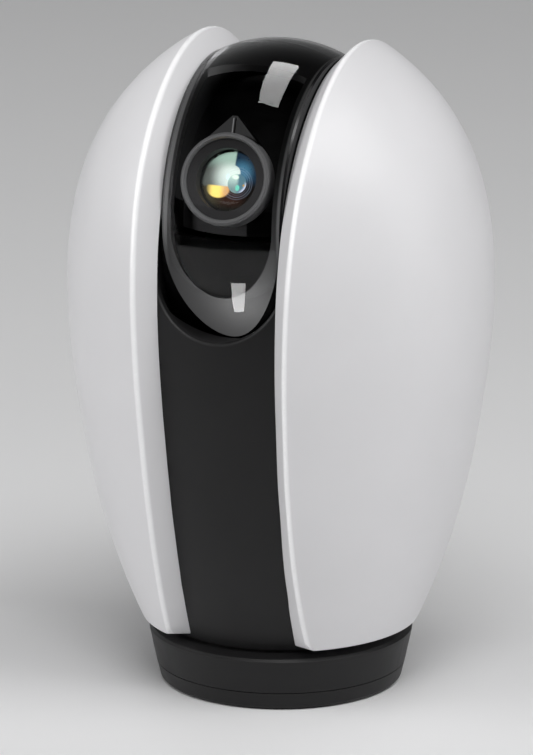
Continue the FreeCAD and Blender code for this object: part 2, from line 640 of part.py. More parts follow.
def lower_block(centre):
    """Thick block used to keep one half of an ellipse."""
    block = Part.makeBox(100, 100, 100, V(-50, -50, -50))
    block.Placement = FreeCAD.Placement(centre, FreeCAD.Rotation(X_AXIS, -WINDOW_AXIS))
    return block


SPLIT_AXIS = 35.0           # the head shells part square to this elevation
OVAL_STRAIGHT = 14.0
OVAL_TIP = 30.4
WINDOW_END = 112.0          # the window runs over the top of the head
FRAME_HALF = 10.4           # opening of the grey frame behind the window
FRAME_STRAIGHT = 12.5
FRAME_TIP = 24.6
FRAME_END = 70.0
drum = ball(HEAD_R, HEAD_HALF)
drum_inner = ball(HEAD_R - HEAD_WALL, HEAD_HALF - 2.0)
skin = drum.cut(drum_inner)
half_space = Part.makeBox(200, 200, 100, V(-100, -100, 0))
half_space.Placement = FreeCAD.Placement(CENTRE, FreeCAD.Rotation(Z_AXIS, aim(SPLIT_AXIS)))
window_hole = oval(WINDOW_HALF, OVAL_STRAIGHT, OVAL_TIP, WINDOW_END)
axle_hole = rod(JOURNAL_R, 60, V(-30, TILT_Y, TILT_Z), X_AXIS)
deep = ball(HEAD_R - HEAD_WALL, HEAD_HALF + 0.4)
window_cut = window_hole.cut(deep)
side_boss = rod(6.0, 2.0, V(-10.7, TILT_Y, TILT_Z), X_AXIS).fuse(
    rod(6.0, 2.0, V(8.7, TILT_Y, TILT_Z), X_AXIS))
skin = skin.fuse(side_boss)
front_head = one(skin.common(half_space).cut(window_cut).cut(axle_hole))
rear_head = one(skin.cut(half_space).cut(axle_hole))
save("head_front_shell", front_head)
save("head_rear_shell", rear_head)

glass_hole = oval(WINDOW_HALF - 0.04, OVAL_STRAIGHT, OVAL_TIP - 0.04, WINDOW_END - 0.08)
glass = drum.cut(ball(HEAD_R - WINDOW_T, HEAD_HALF)).common(glass_hole)
save("window", one(glass))
frame_outer = ball(HEAD_R - WINDOW_T - 0.02, HEAD_HALF).cut(deep)
window_frame = frame_outer.common(glass_hole).common(half_space)
window_frame = window_frame.cut(oval(FRAME_HALF, FRAME_STRAIGHT, FRAME_TIP, FRAME_END))
save("window_frame", one(window_frame))


def band(r_out, r_in, half, low, high):
    """Part of a crowned drum between two elevations."""
    ring = ball(r_out, half).cut(ball(r_in, half))
    return one(ring.common(wedge(low, high, -40, 40)))


PANEL_HALF = HEAD_HALF - 2.05
lens_out = aim(LENS_AXIS)


def on_lens(r, near, far):
    """Cylinder on the lens axis between two distances from the tilt axis."""
    return rod(r, far - near, CENTRE + lens_out * near, lens_out)


RING_R = 9.05               # outside of the lens ring
RING_BORE = 7.95            # inside of the lens ring
RING_FRONT = 29.3
BEZEL_TUBE = 8.15           # outside of the bezel where it passes the mask
mask = band(25.0, 23.8, PANEL_HALF, -3.0, 92.0)
mask = one(mask.cut(on_lens(BEZEL_TUBE + 0.1, 10, 40)))
save("inner_mask", mask)
lower_panel = band(28.9, 27.7, PANEL_HALF, -34.0, -3.2)
save("lower_panel", one(lower_panel.cut(on_lens(RING_R + 0.1, 10, 40))))


def on_axis(points):
    """Solid turned about the lens axis from (radius, distance) points."""
    shape = turned(points)
    shape.Placement = FreeCAD.Placement(CENTRE, FreeCAD.Rotation(Z_AXIS, lens_out))
    return shape


bezel = on_axis([(BEZEL_TUBE, 20.0), (BEZEL_TUBE, 25.5), (RING_R, 25.6),
                 (RING_R, RING_FRONT - 0.5), (RING_R - 0.4, RING_FRONT),
                 (RING_BORE + 0.3, RING_FRONT), (RING_BORE, RING_FRONT - 0.5),
                 (RING_BORE, 26.0), (7.2, 26.0), (7.2, 20.0)])
save("lens_bezel", bezel)
face = on_axis([(6.15, 26.02), (RING_BORE - 0.03, 26.02), (RING_BORE - 0.03, RING_FRONT - 0.8),
                (6.15, RING_FRONT - 1.2)])
save("lens_face_ring", face)
barrel = on_axis([(5.2, 12.0), (7.15, 12.0), (7.15, 25.95), (6.1, 25.95), (6.1, 24.0), (5.2, 24.0)])
save("lens_barrel", barrel)


def dome(radius, rise, z0):
    """Plano-convex element: rim radius, height of the cap, height of its flat."""
    big = (radius ** 2 + rise ** 2) / (2.0 * rise)
    cap = Part.makeSphere(big, V(0, 0, z0 + rise - big))
    cap = cap.common(rod(radius, rise + 1.0, V(0, 0, z0)))
    cap.Placement = FreeCAD.Placement(CENTRE, FreeCAD.Rotation(Z_AXIS, lens_out)).multiply(cap.Placement)
    return cap


save("front_lens", dome(6.1, 2.3, 26.0).fuse(on_lens(6.1, 24.0, 26.0)))
save("inner_lenses", [dome(4.2, 1.4, 21.0).fuse(on_lens(5.2, 19.5, 21.0)),
                      dome(3.2, 1.0, 17.0).fuse(on_lens(5.2, 16.0, 17.0))])
SENSOR_AT = 8.0


def square(half, near, far):
    block = box(-half, half, -half, half, near, far)
    block.Placement = FreeCAD.Placement(CENTRE, FreeCAD.Rotation(Z_AXIS, lens_out))
    return block


holder = square(8.2, SENSOR_AT + 1.2, 12.0).cut(square(5.5, SENSOR_AT + 1.2, 11.0))
holder = holder.fuse(on_lens(8.2, 12.0, 20.0)).cut(on_lens(7.15, 12.0, 20.0))
holder = holder.cut(on_lens(5.0, 10.0, 13.0))
save("lens_holder", one(holder))
save("ir_filter", square(5.4, 10.3, 10.95))
save("sensor_board", square(10.0, SENSOR_AT, SENSOR_AT + 1.2))
save("image_sensor", square(4.0, SENSOR_AT + 1.2, SENSOR_AT + 2.0))

HOOD_BACK = 25.4
hood_points = [(-5.4, RING_R - 1.5), (5.4, RING_R - 1.5), (0.5, 12.5), (-0.5, 12.5)]
hood = prism([V(x, y, HOOD_BACK) for x, y in hood_points], V(0, 0, 2.2))
hood.Placement = FreeCAD.Placement(CENTRE, FreeCAD.Rotation(X_AXIS, tangent(LENS_AXIS), lens_out, "ZXY"))
hood = hood.cut(on_lens(RING_R + 0.02, 20, 30))
pipe_base = CENTRE + lens_out * (HOOD_BACK + 2.0) + tangent(LENS_AXIS) * (RING_R + 0.1)
pipe = rod(0.42, 2.9, pipe_base, tangent(LENS_AXIS))
save("sensor_hood", one(hood.cut(pipe)))
save("status_light_pipe", pipe)

LED_AXIS = 66.0             # the infrared lamps look up past the lens
LED_BOARD_AT = 18.0
led_out = aim(LED_AXIS)
led_board = Part.makeBox(16, 9, 1.0, V(-8, -4.5, 0))
led_board.Placement = FreeCAD.Placement(CENTRE + led_out * LED_BOARD_AT, FreeCAD.Rotation(Z_AXIS, led_out))
save("ir_board", led_board)
LED_R = 1.4
LED_SHOULDER = 2.6
leds = []
for x in (-5.4, -1.8, 1.8, 5.4):
    cap = Part.makeSphere(LED_R, V(x, 0, LED_SHOULDER)).common(box(-9, 9, -9, 9, LED_SHOULDER, 9))
    led = rod(LED_R, LED_SHOULDER - 1.0, V(x, 0, 1.0)).fuse(cap)
    led.Placement = FreeCAD.Placement(CENTRE + led_out * LED_BOARD_AT, FreeCAD.Rotation(Z_AXIS, led_out))
    leds.append(led)
save("ir_leds", leds)

for name, side, end in (("tilt_axle_left", -1, 16.6), ("tilt_axle_right", 1, 19.2)):
    pin = rod(JOURNAL_R, end - 8.7, V(side * 8.7, TILT_Y, TILT_Z), V(side, 0, 0))
    pin = pin.fuse(rod(JOURNAL_R + 1.2, 0.8, V(side * 7.9, TILT_Y, TILT_Z), V(side, 0, 0)))
    save(name, pin)
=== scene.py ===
import json
import math

import bpy
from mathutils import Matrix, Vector

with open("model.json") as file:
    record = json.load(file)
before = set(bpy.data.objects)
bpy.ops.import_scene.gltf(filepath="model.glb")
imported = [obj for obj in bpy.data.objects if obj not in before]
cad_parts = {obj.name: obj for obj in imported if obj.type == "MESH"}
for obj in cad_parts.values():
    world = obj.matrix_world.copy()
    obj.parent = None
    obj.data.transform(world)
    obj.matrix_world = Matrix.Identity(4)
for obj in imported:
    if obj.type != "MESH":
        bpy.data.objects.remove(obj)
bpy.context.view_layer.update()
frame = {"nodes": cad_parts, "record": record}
NODES = frame["nodes"]
MM = 0.001


# ------------------------------------------------------------------ materials
def new_material(name):
    mat = bpy.data.materials.new(name)
    mat.use_nodes = True
    mat.node_tree.nodes.clear()
    return mat


class Nodes:
    """Short hand for building the node tree of a material or a world."""

    def __init__(self, owner):
        self.tree = owner.node_tree
        self.coord = None

    def add(self, kind, **settings):
        node = self.tree.nodes.new(kind)
        for key, value in settings.items():
            setattr(node, key, value)
        return node

    def link(self, a, b):
        self.tree.links.new(a, b)

    def feed(self, socket, value):
        """Set a socket to a number or a colour, or link another socket to it."""
        if isinstance(value, (int, float)):
            socket.default_value = value
        elif isinstance(value, (tuple, list)):
            socket.default_value = tuple(value) + (1.0,) * (4 - len(value))
        else:
            self.link(value, socket)

    def place(self):
        """Object coordinates in metres."""
        if self.coord is None:
            self.coord = self.add("ShaderNodeTexCoord")
        return self.coord.outputs["Object"]

    def position(self, scale):
        """Object coordinates in metres, scaled."""
        mapping = self.add("ShaderNodeMapping")
        mapping.inputs["Scale"].default_value = scale
        self.link(self.place(), mapping.inputs["Vector"])
        return mapping.outputs["Vector"]

    def noise(self, size, detail=3.0, roughness=0.5, stretch=(1.0, 1.0, 1.0)):
        """Noise whose features are about size metres across."""
        node = self.add("ShaderNodeTexNoise")
        node.inputs["Scale"].default_value = 1.0 / size
        node.inputs["Detail"].default_value = detail
        node.inputs["Roughness"].default_value = roughness
        self.link(self.position(stretch), node.inputs["Vector"])
        return node.outputs["Fac"]

    def remap(self, value, low, high, to_low, to_high):
        """Straight-line change of range, held at its ends."""
        node = self.add("ShaderNodeMapRange")
        self.link(value, node.inputs["Value"])
        for key, number in (("From Min", low), ("From Max", high), ("To Min", to_low), ("To Max", to_high)):
            node.inputs[key].default_value = number
        return node.outputs["Result"]

    def blend(self, factor, a, b):
        """Colour mix; a and b are colours or sockets."""
        node = self.add("ShaderNodeMix", data_type="RGBA")
        self.link(factor, node.inputs["Factor"])
        self.feed(node.inputs[6], a)
        self.feed(node.inputs[7], b)
        return node.outputs[2]

    def math(self, operation, a, b=0.0):
        """One sum; a and b are numbers or sockets."""
        node = self.add("ShaderNodeMath", operation=operation)
        self.feed(node.inputs[0], a)
        self.feed(node.inputs[1], b)
        return node.outputs[0]

    def bump(self, height, strength, distance):
        node = self.add("ShaderNodeBump")
        node.inputs["Strength"].default_value = strength
        node.inputs["Distance"].default_value = distance
        self.link(height, node.inputs["Height"])
        return node.outputs["Normal"]

    def principled(self, **inputs):
        node = self.add("ShaderNodeBsdfPrincipled")
        for key, value in inputs.items():
            self.feed(node.inputs[key.replace("_", " ")], value)
        return node

    def along(self, origin, direction):
        """Distance in millimetres along a direction, from a point given in metres."""
        offset = self.add("ShaderNodeVectorMath", operation="SUBTRACT")
        self.link(self.place(), offset.inputs[0])
        offset.inputs[1].default_value = origin
        dot = self.add("ShaderNodeVectorMath", operation="DOT_PRODUCT")
        self.link(offset.outputs["Vector"], dot.inputs[0])
        dot.inputs[1].default_value = direction
        return self.math("MULTIPLY", dot.outputs["Value"], 1.0 / MM)

    def step(self, value, start, end):
        """Smooth 0 to 1 as value goes from start to end."""
        node = self.add("ShaderNodeMapRange", interpolation_type="SMOOTHSTEP")
        self.link(value, node.inputs["Value"])
        flip = start > end
        node.inputs["From Min"].default_value = min(start, end)
        node.inputs["From Max"].default_value = max(start, end)
        node.inputs["To Min"].default_value = 1.0 if flip else 0.0
        node.inputs["To Max"].default_value = 0.0 if flip else 1.0
        return node.outputs["Result"]

    def both(self, *masks):
        """Masks multiplied together."""
        result = masks[0]
        for mask in masks[1:]:
            result = self.math("MULTIPLY", result, mask)
        return result

    def distance(self, u, v, centre, radii=(1.0, 1.0)):
        """Distance from a point of the u, v plane, in radii."""
        du = self.math("DIVIDE", self.math("SUBTRACT", u, centre[0]), radii[0])
        dv = self.math("DIVIDE", self.math("SUBTRACT", v, centre[1]), radii[1])
        squares = self.math("ADD", self.math("MULTIPLY", du, du), self.math("MULTIPLY", dv, dv))
        return self.math("SQRT", squares)

    def output(self, shader):
        node = self.add("ShaderNodeOutputMaterial")
        self.link(shader, node.inputs["Surface"])


def varied(colour, amount):
    """A darker and a lighter version of a colour."""
    light = tuple(min(1.0, c * (1 + amount)) for c in colour)
    dark = tuple(c * (1 - amount) for c in colour)
    return dark, light


GRAIN = 0.25 * MM           # spark-eroded texture of a mould
FINE_GRAIN = 0.12 * MM
GRAIN_DEPTH = 0.004 * MM
FLOW = 18 * MM              # soft colour change from one end of a moulding to the other


def flowed(n, colour, amount):
    """Base colour of moulded plastic, varied softly by a share of itself."""
    dark, light = varied(colour, amount)
    return n.blend(n.remap(n.noise(FLOW, detail=2.0), 0.3, 0.7, 0.0, 1.0), dark, light)


def handled(n, fine, roughness, spread):
    """Roughness with handling marks on top of the mould's grain."""
    marks = n.noise(5 * MM, detail=5.0, roughness=0.6)
    wear = n.math("ADD", marks, n.math("MULTIPLY", fine, 0.5))
    return n.remap(wear, 0.45, 1.05, roughness - spread, roughness + spread)


def moulded(name, colour, roughness, grain=GRAIN, depth=GRAIN_DEPTH, spread=0.06, level=0.5, tint=0.03):
    """Injection-moulded plastic: fine spark-eroded grain, soft flow variation and handling marks."""
    mat = new_material(name)
    n = Nodes(mat)
    fine = n.noise(grain, detail=2.0)
    shader = n.principled(Base_Color=flowed(n, colour, tint), Roughness=handled(n, fine, roughness, spread),
                          Normal=n.bump(fine, 0.5, depth), Specular_IOR_Level=level)
    n.output(shader.outputs[0])
    return mat


BRUSH = (1.0, 1.0, 12.0)    # the grain of metal is drawn out across Z


def metal(name, colour, roughness):
    """Machined or plated metal with a direction to its grain."""
    mat = new_material(name)
    n = Nodes(mat)
    lines = n.noise(0.4 * MM, stretch=BRUSH)
    stain = n.noise(6 * MM, detail=4.0)
    dark, light = varied(colour, 0.10)
    base = n.blend(n.remap(stain, 0.3, 0.7, 0.0, 1.0), dark, light)
    rough = n.remap(n.math("ADD", lines, stain), 0.7, 1.3, roughness - 0.08, roughness + 0.10)
    shader = n.principled(Base_Color=base, Metallic=1.0, Roughness=rough,
                          Normal=n.bump(lines, 0.4, 0.01 * MM))
    n.output(shader.outputs[0])
    return mat


def shadow_clear(n, shader, tint):
    """Lamps pass the piece with its tint, so what lies behind it is lit."""
    through = n.add("ShaderNodeBsdfTransparent")
    through.inputs["Color"].default_value = tuple(tint) + (1.0,)
    path = n.add("ShaderNodeLightPath")
    mix = n.add("ShaderNodeMixShader")
    n.link(path.outputs["Is Shadow Ray"], mix.inputs[0])
    n.link(shader, mix.inputs[1])
    n.link(through.outputs[0], mix.inputs[2])
    return mix.outputs[0]


SMEAR = 0.003               # extra roughness where a clear piece is smeared


def clear(name, tint, roughness, ior):
    """Polished clear plastic or glass; lamps reach what lies behind it."""
    mat = new_material(name)
    n = Nodes(mat)
    smears = n.noise(7 * MM, detail=4.0, roughness=0.6)
    rough = n.remap(smears, 0.45, 0.75, roughness, roughness + SMEAR)
    hazy = tuple(c * 0.97 for c in tint)
    base = n.blend(n.remap(smears, 0.4, 0.7, 0.0, 1.0), tint, hazy)
    glass = n.principled(Base_Color=base, Transmission_Weight=1.0, Roughness=rough, IOR=ior)
    n.output(shadow_clear(n, glass.outputs[0], tint))
    return mat


TILT_CENTRE = (0.0, -3.3 * MM, 99.2 * MM)
LENS_TILT = math.radians(21.0)
LENS_OUT = (0.0, -math.cos(LENS_TILT), math.sin(LENS_TILT))
LENS_UP = (0.0, math.sin(LENS_TILT), math.cos(LENS_TILT))
LENS_BACK = 25.9            # the front glass carries painted reflections behind this distance from the tilt centre
REFLECTION_SCALE = 1.20        # the dome enlarges the painted reflections by this much
DOME_TINT = (0.97, 0.99, 0.985)
IRIS_AT = (1.15, -0.25)     # millimetres as seen through the dome, like every place in the painted reflections
IRIS_RING_HIGHLIGHTS = ((2.3, 0.16), (2.75, 0.30), (3.2, 0.22))       # radius and strength of each painted ring highlight
# painted glints on the iris, green, pale and amber: centre, radii, core and tone
IRIS_GLINTS = (((1.3, -1.1), (0.45, 0.6), 0.7, (0.14, 0.52, 0.40)),
              ((0.65, 1.0), (0.75, 0.45), 0.6, (0.66, 0.78, 0.66)),
              ((2.55, -0.5), (0.25, 0.25), 0.6, (0.45, 0.25, 0.05)))


def painted_lens_reflections(n):
    """Painted reflections and glints of the coated elements inside the lens, seen through its dome, with
    painted shade at the rim.
    """
    u = n.math("MULTIPLY", n.along(TILT_CENTRE, (1, 0, 0)), REFLECTION_SCALE)
    v = n.math("MULTIPLY", n.along(TILT_CENTRE, LENS_UP), REFLECTION_SCALE)
    wobble = n.math("MULTIPLY", n.math("SUBTRACT", n.noise(3 * MM, detail=2.0), 0.5), 0.8)
    uw = n.math("ADD", u, wobble)
    # painted reflection below: olive at the left, brown in the middle, nearly black at the right, and near
    # black towards the bottom
    colour = n.blend(n.step(u, -4.2, -0.8), (0.040, 0.034, 0.020), (0.026, 0.010, 0.006))
    colour = n.blend(n.step(u, 0.5, 4.0), colour, (0.003, 0.0015, 0.001))
    colour = n.blend(n.step(v, -3.4, -6.0), colour, (0.004, 0.003, 0.002))
    # painted blue reflection above and to the right
    blue_reflection = n.blend(n.step(n.distance(u, v, (1.9, 2.2)), 0.6, 3.2), (0.045, 0.13, 0.20), (0.006, 0.018, 0.036))
    colour = n.blend(n.step(v, -0.9, 1.0), colour, blue_reflection)
    # painted pale reflection of a softbox above and to the left
    pale_reflection = n.blend(n.step(n.distance(u, v, (0.2, 1.0)), 5.4, 1.0), (0.080, 0.088, 0.080), (0.62, 0.70, 0.64))
    pale_reflection = n.blend(n.step(v, 2.0, 5.0), pale_reflection, (0.27, 0.38, 0.32))
    bulge = n.math("MULTIPLY", n.step(n.distance(u, v, (0.6, 1.6), (1.4, 1.6)), 1.15, 0.7), 1.3)
    side = n.math("SUBTRACT", u, bulge)
    colour = n.blend(n.both(n.step(side, 0.45, 0.05), n.step(v, -1.5, -0.8)), colour, pale_reflection)
    # painted amber reflection of the lamp
    amber_reflection = n.blend(n.step(uw, -2.6, -0.9), (0.92, 0.66, 0.17), (0.60, 0.32, 0.12))
    amber_reflection = n.blend(n.step(u, -3.6, -5.2), amber_reflection, (0.20, 0.16, 0.06))
    blob = n.step(n.distance(u, v, (-2.7, -1.6), (2.5, 1.8)), 1.08, 0.85)
    colour = n.blend(n.both(blob, n.step(v, -0.75, -1.15)), colour, amber_reflection)
    # painted highlights on the turned rings round the iris
    ring_at = n.distance(u, v, IRIS_AT)
    for radius, strength in IRIS_RING_HIGHLIGHTS:
        highlight_line = n.both(n.step(ring_at, radius - 0.14, radius), n.step(ring_at, radius + 0.14, radius))
        colour = n.blend(n.math("MULTIPLY", highlight_line, strength), colour, (0.30, 0.36, 0.48))
    # painted reflections and glints on the iris, the small inner element
    iris_reflections = n.blend(n.step(v, -1.6, 1.4), (0.16, 0.24, 0.24), (0.42, 0.55, 0.50))
    iris_reflections = n.blend(n.step(uw, 0.8, 1.5), iris_reflections, (0.075, 0.15, 0.19))
    # painted bright crescent highlight on the lower right rim of the iris
    crescent_highlight = n.both(n.step(ring_at, 1.3, 1.85), n.step(u, 1.2, 2.5), n.step(v, 0.5, -0.6))
    iris_reflections = n.blend(crescent_highlight, iris_reflections, (0.42, 0.46, 0.58))
    for centre, radii, core, tone in IRIS_GLINTS:
        iris_reflections = n.blend(n.step(n.distance(u, v, centre, radii), 1.2, core), iris_reflections, tone)
    colour = n.blend(n.step(ring_at, 2.0, 1.88), colour, iris_reflections)
    # painted cyan highlight up and to the left of the iris
    colour = n.blend(n.step(n.distance(u, v, (-0.9, 0.9), (0.35, 0.6)), 1.3, 0.5), colour, (0.60, 0.85, 0.86))
    # painted shade: near black towards the rim of the dome
    return n.blend(n.step(n.distance(u, v, (0.0, 0.0)), 5.9, 6.9), colour, (0.004, 0.004, 0.004))


def lens_with_painted_reflections(name):
    """Glass dome whose rear face carries painted reflections, glints and painted shade at the rim."""
    mat = new_material(name)
    n = Nodes(mat)
    dust = n.noise(0.6 * MM, detail=4.0)
    glass = n.principled(Base_Color=DOME_TINT, Transmission_Weight=1.0, IOR=1.5,
                         Roughness=n.remap(dust, 0.5, 0.8, 0.004, 0.02))
    back = n.principled(Base_Color=painted_lens_reflections(n), Roughness=n.remap(dust, 0.3, 0.7, 0.25, 0.4))
    mix = n.add("ShaderNodeMixShader")
    n.link(n.step(n.along(TILT_CENTRE, LENS_OUT), LENS_BACK + 0.02, LENS_BACK), mix.inputs[0])
    n.link(glass.outputs[0], mix.inputs[1])
    n.link(back.outputs[0], mix.inputs[2])
    n.output(shadow_clear(n, mix.outputs[0], DOME_TINT))
    return mat


def mask_black(name):
    """Black screen round the lens with a painted patch of light low on its left, its right edge a painted
    shadow edge.
    """
    mat = new_material(name)
    n = Nodes(mat)
    x = n.along(TILT_CENTRE, (1, 0, 0))
    up = n.along(TILT_CENTRE, (0, 0, 1))
    streak = n.noise(4 * MM, detail=3.0, stretch=(1.0, 1.0, 3.0))
    black = n.blend(streak, (0.0004, 0.0004, 0.0004), (0.0010, 0.0009, 0.0010))
    # painted light: a grey patch low on the left, cut off on the right by a painted shadow edge
    grey = n.blend(streak, (0.046, 0.045, 0.046), (0.068, 0.067, 0.068))
    slant = n.math("ADD", up, n.math("MULTIPLY", x, -0.5))
    lit_patch = n.both(n.step(x, 3.75, 3.45), n.step(slant, 9.6, 9.2))
    shader = n.principled(Base_Color=n.blend(lit_patch, black, grey), Specular_IOR_Level=0.05,
                          Roughness=n.remap(streak, 0.3, 0.7, 0.35, 0.5))
    n.output(shader.outputs[0])
    return mat


FRAME_EDGE = 11.05          # the painted highlight line lies outside this distance from the middle
FRAME_EDGE_SOFT = 0.35      # and fades in over this width


def rim_highlighted_frame(name, colour, rim_highlight_colour):
    """Grey frame behind the window with a painted highlight line along its two long edges, fading out towards
    the bottom.
    """
    mat = new_material(name)
    n = Nodes(mat)
    off = n.math("ABSOLUTE", n.along(TILT_CENTRE, (1, 0, 0)))
    up = n.along(TILT_CENTRE, (0, 0, 1))
    # painted highlight: pale line at the long edges, fading out towards the bottom
    highlight_line = n.both(n.step(off, FRAME_EDGE, FRAME_EDGE + FRAME_EDGE_SOFT), n.remap(up, -5.0, 16.0, 0.04, 1.0))
    fine = n.noise(FINE_GRAIN, detail=2.0)
    shader = n.principled(Base_Color=n.blend(highlight_line, flowed(n, colour, 0.03), rim_highlight_colour),
                          Roughness=n.remap(fine, 0.3, 0.7, 0.40, 0.50), Specular_IOR_Level=0.2,
                          Normal=n.bump(fine, 0.5, GRAIN_DEPTH))
    n.output(shader.outputs[0])
    return mat


# the ridge runs at this distance from the middle, plus a cubic in the height
RIDGE_MIDDLE = 15.45
RIDGE_CUBIC = (1.7, 0.5, -0.7)
RIDGE_FOOT = 70.0           # height where the cubic is zero
RIDGE_SPAN = 60.0           # and the height over which it runs from 0 to 1
RIDGE_TOP = 118.0           # above this height the distance stays the same
RIDGE_HIGHLIGHT_COLOUR = (0.97, 0.97, 0.98)
RIDGE_HALF = 0.75           # half the width of the painted highlight line
RIDGE_CORE = 0.2            # the painted highlight is full this close to the ridge


def ridge_distance(n):
    """Distance of a point from the ridge, positive outside it."""
    height = n.math("MINIMUM", n.along((0, 0, 0), (0, 0, 1)), RIDGE_TOP)
    t = n.math("DIVIDE", n.math("SUBTRACT", height, RIDGE_FOOT), RIDGE_SPAN)
    power = t
    ridge = n.math("MULTIPLY", t, RIDGE_CUBIC[0])
    for factor in RIDGE_CUBIC[1:]:
        power = n.math("MULTIPLY", power, t)
        ridge = n.math("ADD", ridge, n.math("MULTIPLY", power, factor))
    off = n.math("ABSOLUTE", n.along((0, 0, 0), (1, 0, 0)))
    return n.math("SUBTRACT", off, n.math("ADD", ridge, RIDGE_MIDDLE))


def ridge_shell(name, colour, roughness):
    """Satin white shell with a painted highlight along the ridge beside the slot, where it is also glossier.
    """
    mat = new_material(name)
    n = Nodes(mat)
    fine = n.noise(GRAIN, detail=2.0)
    off = ridge_distance(n)
    # painted highlight: paler and glossier along the ridge
    ridge_highlight = n.both(n.step(off, -RIDGE_HALF, -RIDGE_CORE), n.step(off, RIDGE_HALF, RIDGE_CORE))
    rough = n.math("SUBTRACT", handled(n, fine, roughness, 0.05), n.math("MULTIPLY", ridge_highlight, 0.10))
    shader = n.principled(Base_Color=n.blend(ridge_highlight, flowed(n, colour, 0.012), RIDGE_HIGHLIGHT_COLOUR),
                          Roughness=rough, Normal=n.bump(fine, 0.5, GRAIN_DEPTH))
    n.output(shader.outputs[0])
    return mat


MATERIALS = {
    "white_shell": ridge_shell("white_shell", (0.735, 0.730, 0.745), 0.36),
    "black_satin": moulded("black_satin", (0.0095, 0.0092, 0.0096), 0.46, spread=0.05, tint=0.10, level=0.28),
    "black_gloss": moulded("black_gloss", (0.006, 0.006, 0.0065), 0.16, spread=0.03, tint=0.1),
    "smoked_window": clear("smoked_window", (0.93, 0.93, 0.935), 0.0, 1.25),
    # the second colour is the painted rim highlight
    "frame_grey": rim_highlighted_frame("frame_grey", (0.038, 0.038, 0.0385), (0.42, 0.42, 0.425)),
    "panel_black": moulded("panel_black", (0.004, 0.004, 0.0041), 0.5, grain=FINE_GRAIN, depth=0.001 * MM,
                           level=0.1),
    "mask_black": mask_black("mask_black"),
    "hood_black": moulded("hood_black", (0.032, 0.032, 0.032), 0.45, grain=FINE_GRAIN, level=0.2),
    "pipe_grey": moulded("pipe_grey", (0.08, 0.08, 0.08), 0.35, level=0.3),
    "lens_black": moulded("lens_black", (0.034, 0.033, 0.034), 0.5, grain=FINE_GRAIN, level=0.2),
    "ring_grey": moulded("ring_grey", (0.115, 0.115, 0.116), 0.35, grain=FINE_GRAIN, level=0.4),
    "lens_glass": clear("lens_glass", (0.92, 0.97, 0.96), 0.002, 1.52),
    "lens_with_painted_reflections": lens_with_painted_reflections("lens_with_painted_reflections"),
    "filter_glass": clear("filter_glass", (0.35, 0.55, 0.60), 0.004, 1.52),
    "board_green": moulded("board_green", (0.015, 0.09, 0.045), 0.35),
    "chip_black": moulded("chip_black", (0.02, 0.02, 0.022), 0.45),
    "tin_can": metal("tin_can", (0.62, 0.62, 0.61), 0.32),
    "motor_can": metal("motor_can", (0.55, 0.55, 0.56), 0.30),
    "white_pom": moulded("white_pom", (0.75, 0.74, 0.70), 0.40),
    "brass": metal("brass", (0.78, 0.58, 0.28), 0.25),
    "steel": metal("steel", (0.52, 0.52, 0.53), 0.28),
    "rubber": moulded("rubber", (0.018, 0.018, 0.018), 0.75),
    "led_clear": moulded("led_clear", (0.25, 0.22, 0.28), 0.1),
    "copper_film": metal("copper_film", (0.70, 0.42, 0.22), 0.35),
    "card_black": moulded("card_black", (0.02, 0.02, 0.025), 0.4),
    "cone_paper": moulded("cone_paper", (0.05, 0.05, 0.05), 0.8),
}
FINISHES = {"front_lens": "lens_with_painted_reflections", "inner_mask": "mask_black", "lower_panel": "panel_black",
            "sensor_hood": "hood_black", "status_light_pipe": "pipe_grey"}

for part in frame["record"]["subparts"]:
    node = NODES[part["node"]]
    node.data.materials.clear()
    node.data.materials.append(MATERIALS[FINISHES.get(part["node"], part["material_slot"])])


# ------------------------------------------------------------------ studio
FLOOR_HALF = 3.0


def floor_material():
    """Pale matt floor."""
    mat = new_material("studio_floor")
    n = Nodes(mat)
    mottle = n.noise(0.12, detail=4.0)
    base = n.blend(mottle, (0.78, 0.78, 0.785), (0.81, 0.81, 0.815))
    shader = n.principled(Base_Color=base, Roughness=0.55, Normal=n.bump(n.noise(1.5 * MM), 0.1, 0.05 * MM))
    n.output(shader.outputs[0])
    return mat


def make_floor():
    corners = [(x * FLOOR_HALF, y * FLOOR_HALF, 0) for x, y in ((-1, -1), (1, -1), (1, 1), (-1, 1))]
    mesh = bpy.data.meshes.new("floor")
    mesh.from_pydata(corners, [], [(0, 1, 2, 3)])
    floor = bpy.data.objects.new("floor", mesh)
    bpy.context.scene.collection.objects.link(floor)
    mesh.materials.append(floor_material())


def lit_only(lamp, names):
    """The lamp reaches only these pieces."""
    group = bpy.data.collections.new(lamp.name + "_on")
    for name in names:
        group.objects.link(bpy.data.objects[name] if name == "floor" else NODES[name])
    lamp.light_linking.receiver_collection = group


def area_light(name, place, target, size, power, size_y=None):
    """Soft white lamp that faces its target; sizes and places in metres, power in watts."""
    data = bpy.data.lights.new(name, "AREA")
    data.shape = "RECTANGLE"
    data.size = size
    data.size_y = size_y or size
    data.energy = power
    light = bpy.data.objects.new(name, data)
    bpy.context.scene.collection.objects.link(light)
    light.location = place
    light.rotation_euler = (Vector(target) - Vector(place)).to_track_quat("-Z", "Y").to_euler()
    light.visible_camera = False
    return light


